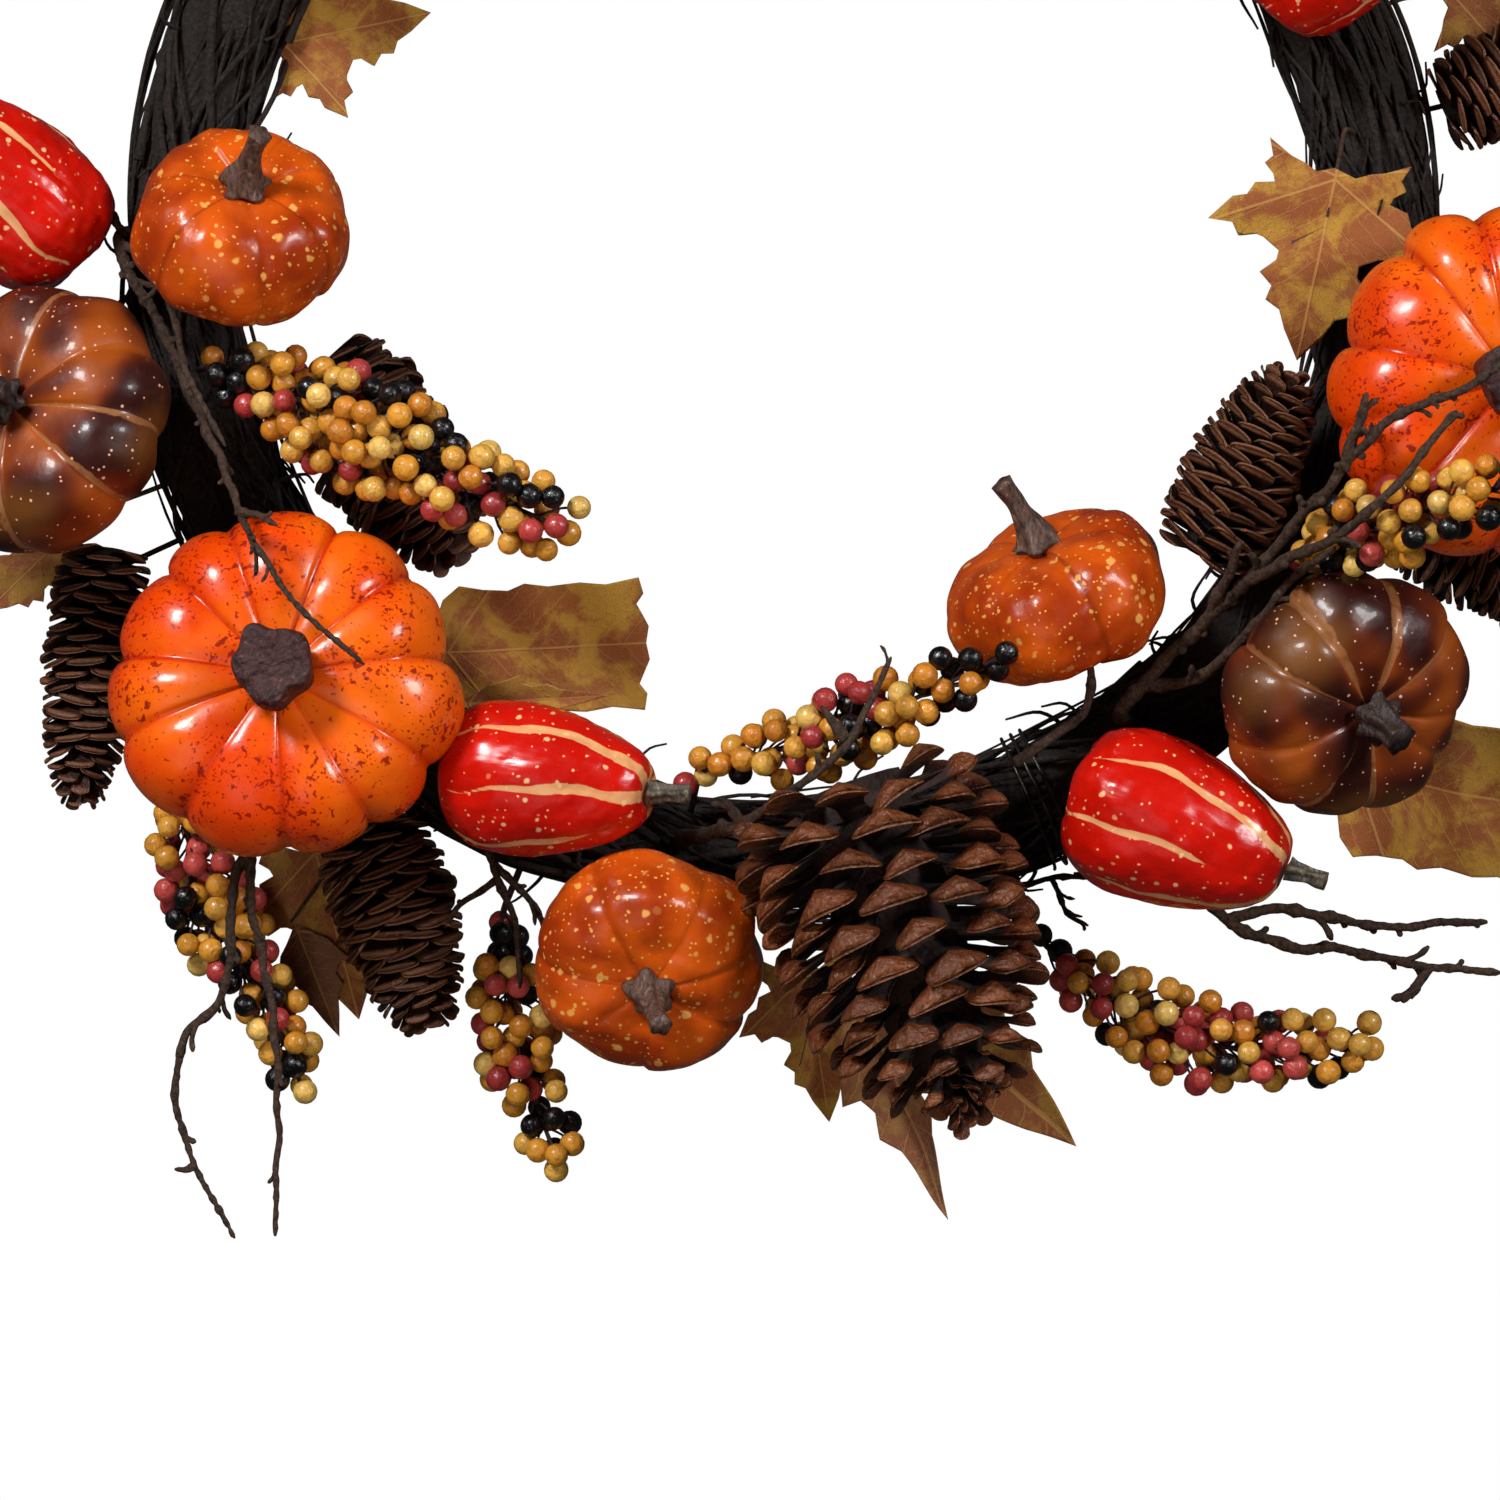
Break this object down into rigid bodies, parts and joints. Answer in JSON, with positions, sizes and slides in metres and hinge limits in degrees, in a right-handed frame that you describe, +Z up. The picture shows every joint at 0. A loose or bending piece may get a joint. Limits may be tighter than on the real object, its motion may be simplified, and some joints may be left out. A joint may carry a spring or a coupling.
{
  "type": "harvest door wreath",
  "caption": "Autumn door wreath of painted foam pumpkins and gourds, pine cones, berry sprays, fabric leaves and twigs on a bound vine ring with a wire hanger loop.",
  "frame": {"origin": "where a door hook bears, under the top bend of the hanger loop", "axes": "+Z up with the wreath hanging, front of the wreath facing -Y, the door behind it towards +Y, +X to the right as seen from the front"},
  "size_m": [0.5474, 0.1399, 0.5765],
  "materials": {
    "vine": "matte",
    "steel_wire": "satin",
    "wrapped_stalk": "matte",
    "knob_stem": "satin",
    "gourd_stem": "matte",
    "pumpkin_stem": "matte",
    "orange_paint": "gloss",
    "rust_paint": "satin",
    "brown_paint": "gloss",
    "red_paint": "gloss",
    "pine_cone": "matte",
    "berry": "gloss",
    "leaf_fabric": "matte",
    "twig_bark": "matte"
  },
  "bodies": {
    "wreath": {"vine_ring": "vine", "wire_hoop": "steel_wire", "binding_wire": "steel_wire", "pumpkin_orange_left_body": "orange_paint", "pumpkin_orange_left_stem": "knob_stem", "pumpkin_orange_right_body": "orange_paint", "pumpkin_orange_right_stem": "knob_stem", "pumpkin_orange_top_body": "orange_paint", "pumpkin_orange_top_stem": "knob_stem", "pumpkin_rust_bottom_body": "rust_paint", "pumpkin_rust_bottom_stem": "pumpkin_stem", "pumpkin_rust_left_body": "rust_paint", "pumpkin_rust_left_stem": "pumpkin_stem", "pumpkin_rust_top_body": "rust_paint", "pumpkin_rust_top_stem": "pumpkin_stem", "pumpkin_brown_left_body": "brown_paint", "pumpkin_brown_left_stem": "pumpkin_stem", "pumpkin_brown_right_body": "brown_paint", "pumpkin_brown_right_stem": "pumpkin_stem", "pumpkin_brown_top_body": "brown_paint", "pumpkin_brown_top_stem": "pumpkin_stem", "gourd_bottom_body": "red_paint", "gourd_bottom_stem": "gourd_stem", "gourd_right_body": "red_paint", "gourd_right_stem": "gourd_stem", "gourd_left_body": "red_paint", "gourd_left_stem": "gourd_stem", "gourd_top_body": "red_paint", "gourd_top_stem": "gourd_stem", "pinecone_left": "pine_cone", "pinecone_inner_left": "pine_cone", "pinecone_lower_left": "pine_cone", "pinecone_right": "pine_cone", "pinecone_outer_right": "pine_cone", "pinecone_upper_right": "pine_cone", "pinecone_top": "pine_cone", "pinecone_large_bottom": "pine_cone", "pinecone_large_top": "pine_cone", "berry_spray_inner_left": "berry", "berry_spray_inner_bottom": "berry", "berry_spray_right": "berry", "leaf_inner_left": "leaf_fabric", "leaf_lower_left": "leaf_fabric", "leaf_cluster_bottom": "leaf_fabric", "leaf_right": "leaf_fabric", "leaf_upper_right": "leaf_fabric", "twig_left": "twig_bark", "twig_inner_bottom": "twig_bark", "twig_right": "twig_bark"},
    "hanger": {"hanger_loop": "steel_wire"},
    "stalk_pumpkin": {"pumpkin_rust_stalk_body": "rust_paint", "pumpkin_rust_stalk_stem": "pumpkin_stem", "pumpkin_stalk": "wrapped_stalk"},
    "spray_left": {"berry_spray_left": "berry"},
    "spray_bottom": {"berry_spray_bottom": "berry"},
    "spray_lower_right": {"berry_spray_lower_right": "berry"},
    "spray_upper_right": {"berry_spray_upper_right": "berry"},
    "spray_top_left": {"berry_spray_top_left": "berry"},
    "twig_lower_left": {"twig_lower_left": "twig_bark"},
    "twig_lower_right": {"twig_lower_right": "twig_bark"}
  },
  "joints": [
    {"name": "hanger_fold", "type": "hinge", "parent": "wreath", "child": "hanger", "pos_m": [0, -0.0035, -0.044], "axis": [-1, 0, 0], "range_deg": [0, 110]},
    {"name": "stalk_bend", "type": "hinge", "parent": "wreath", "child": "stalk_pumpkin", "pos_m": [0.07896, -0.0465, -0.38168], "axis": [0, 1, 0], "range_deg": [-2, 4]},
    {"name": "spray_left_bend", "type": "hinge", "parent": "wreath", "child": "spray_left", "pos_m": [-0.16005, -0.01997, -0.3643], "axis": [0, 1, 0], "range_deg": [-6, 14]},
    {"name": "spray_bottom_bend", "type": "hinge", "parent": "wreath", "child": "spray_bottom", "pos_m": [-0.08124, -0.01541, -0.42138], "axis": [0, 1, 0], "range_deg": [-6, 6]},
    {"name": "spray_lower_right_bend", "type": "hinge", "parent": "wreath", "child": "spray_lower_right", "pos_m": [0.07499, -0.0166, -0.42433], "axis": [0, 1, 0], "range_deg": [0, 14]},
    {"name": "spray_upper_right_bend", "type": "hinge", "parent": "wreath", "child": "spray_upper_right", "pos_m": [0.15987, -0.01826, -0.09585], "axis": [0, 1, 0], "range_deg": [-12, 12]},
    {"name": "spray_top_left_bend", "type": "hinge", "parent": "wreath", "child": "spray_top_left", "pos_m": [-0.11014, -0.01526, -0.05373], "axis": [0, 1, 0], "range_deg": [-12, 12]},
    {"name": "twig_lower_left_bend", "type": "hinge", "parent": "wreath", "child": "twig_lower_left", "pos_m": [-0.13748, -0.02866, -0.38539], "axis": [0, 1, 0], "range_deg": [-8, 8]},
    {"name": "twig_lower_right_bend", "type": "hinge", "parent": "wreath", "child": "twig_lower_right", "pos_m": [0.11748, -0.0215, -0.40286], "axis": [0, 1, 0], "range_deg": [-12, 0]}
  ]
}
